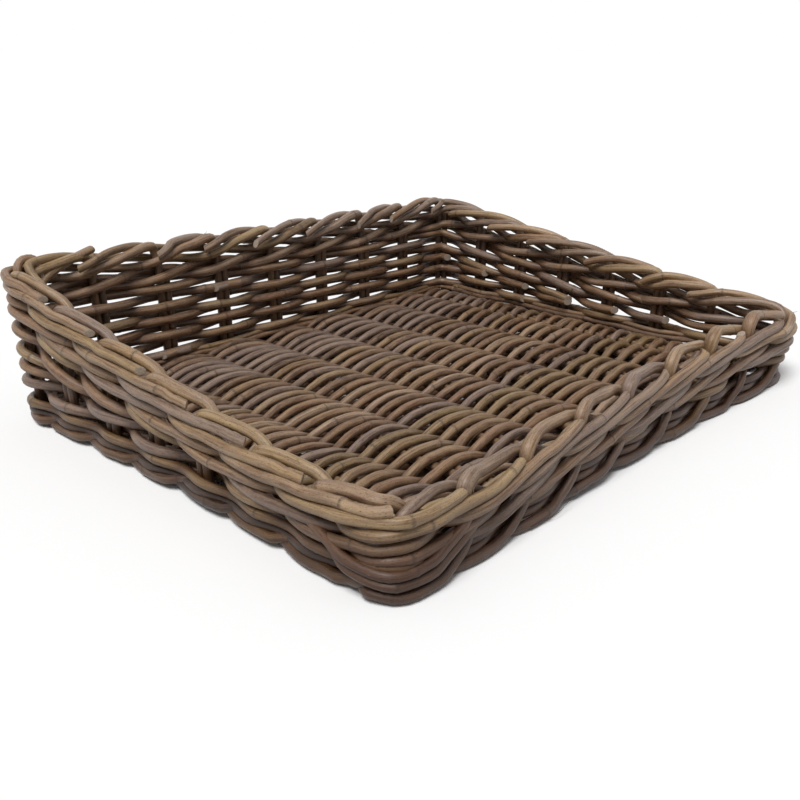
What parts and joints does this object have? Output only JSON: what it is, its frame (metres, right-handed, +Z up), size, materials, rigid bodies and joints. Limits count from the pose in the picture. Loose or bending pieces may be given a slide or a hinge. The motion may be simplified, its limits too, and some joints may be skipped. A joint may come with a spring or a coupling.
{
  "type": "sloped countertop basket",
  "caption": "Shallow rectangular woven basket, low at the front and high at the back, that holds goods on a counter.",
  "frame": {"origin": "on the ground under the middle of the rim, at the bottom centre of the basket's box", "axes": "+X along the front from left to right, +Y from the low front to the high back, +Z up"},
  "size_m": [0.5055, 0.4014, 0.1185],
  "materials": {
    "stake_cane": "weathered grey-brown cane, satin",
    "base_cane": "weathered grey-brown cane, satin",
    "wall_cane": "weathered light brown cane, satin",
    "foot_cane": "weathered brown cane, satin"
  },
  "bodies": {
    "root": {"long_stake_1": "stake_cane", "long_stake_2": "stake_cane", "long_stake_3": "stake_cane", "long_stake_4": "stake_cane", "long_stake_5": "stake_cane", "long_stake_6": "stake_cane", "long_stake_7": "stake_cane", "side_stake_right_1": "stake_cane", "side_stake_right_2": "stake_cane", "side_stake_right_3": "stake_cane", "side_stake_right_4": "stake_cane", "side_stake_right_5": "stake_cane", "side_stake_right_6": "stake_cane", "side_stake_left_1": "stake_cane", "side_stake_left_2": "stake_cane", "side_stake_left_3": "stake_cane", "side_stake_left_4": "stake_cane", "side_stake_left_5": "stake_cane", "side_stake_left_6": "stake_cane", "corner_stake_1": "stake_cane", "corner_stake_2": "stake_cane", "corner_stake_3": "stake_cane", "corner_stake_4": "stake_cane", "edge_stick_left": "stake_cane", "edge_stick_right": "stake_cane", "base_weaver_1": "base_cane", "base_weaver_2": "base_cane", "base_weaver_3": "base_cane", "base_weaver_4": "base_cane", "base_weaver_5": "base_cane", "base_weaver_6": "base_cane", "base_weaver_7": "base_cane", "wall_weaver_1": "wall_cane", "wall_weaver_2": "wall_cane", "wall_weaver_3": "wall_cane", "wall_weaver_4": "wall_cane", "wall_weaver_5": "wall_cane", "wall_weaver_6": "wall_cane", "wall_weaver_7": "wall_cane", "wall_weaver_8": "wall_cane", "wall_weaver_9": "wall_cane", "rim_wale_1": "wall_cane", "rim_wale_2": "wall_cane", "foot_wale_1": "foot_cane", "foot_wale_2": "foot_cane", "foot_wale_3": "foot_cane"}
  },
  "joints": []
}
